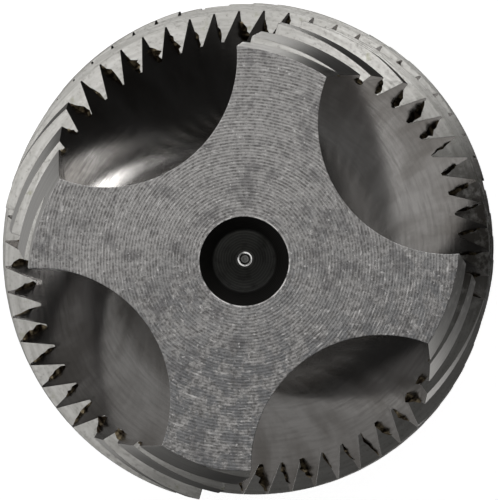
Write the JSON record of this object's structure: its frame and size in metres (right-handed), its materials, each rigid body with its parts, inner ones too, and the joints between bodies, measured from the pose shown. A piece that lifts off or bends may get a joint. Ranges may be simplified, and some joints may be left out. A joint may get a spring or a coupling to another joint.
{
  "type": "pipe tap",
  "caption": "Taper pipe tap: right-hand spiral flutes, toothed lands with a ground chamfer, round shank and square drive end.",
  "frame": {"origin": "centre of the square drive end's face, on the tap's axis", "axes": "+Z along the tap's axis towards the cutting end; +X to the right and +Y up as the picture looks down on the cutting end"},
  "size_m": [0.022, 0.0219, 0.0895],
  "materials": {
    "tool_steel": "ground"
  },
  "bodies": {
    "root": {"pipe_tap": "tool_steel"}
  },
  "joints": []
}
